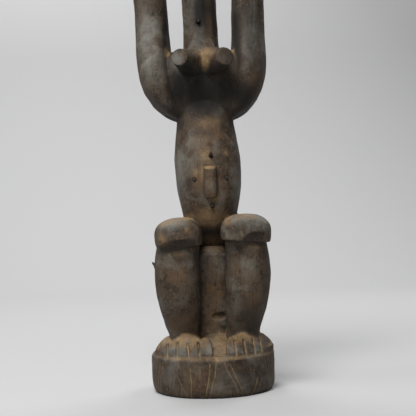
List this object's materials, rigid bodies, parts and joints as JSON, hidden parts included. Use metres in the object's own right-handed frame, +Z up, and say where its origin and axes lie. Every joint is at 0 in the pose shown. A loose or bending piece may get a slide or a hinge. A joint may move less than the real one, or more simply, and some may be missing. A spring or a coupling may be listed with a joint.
{
  "type": "carved wooden ancestor figure",
  "caption": "Carved dark wood figure of a seated woman with raised arms, on a round plinth, with small iron pegs; stands on its flat underside.",
  "frame": {"origin": "centre of the plinth's flat underside", "axes": "+Z up, -Y the way the figure faces, +X towards the figure's left hand"},
  "size_m": [0.1311, 0.122, 0.4939],
  "materials": {
    "aged_wood": "dark aged hardwood, handled smooth, dusty in the recesses",
    "peg_iron": "dark oxidised iron"
  },
  "bodies": {
    "root": {"figure": "aged_wood", "neck_peg": "peg_iron", "belly_peg_top": "peg_iron", "belly_peg_right": "peg_iron", "belly_peg_left": "peg_iron", "belly_peg_bottom": "peg_iron", "calf_peg": "peg_iron"}
  },
  "joints": []
}
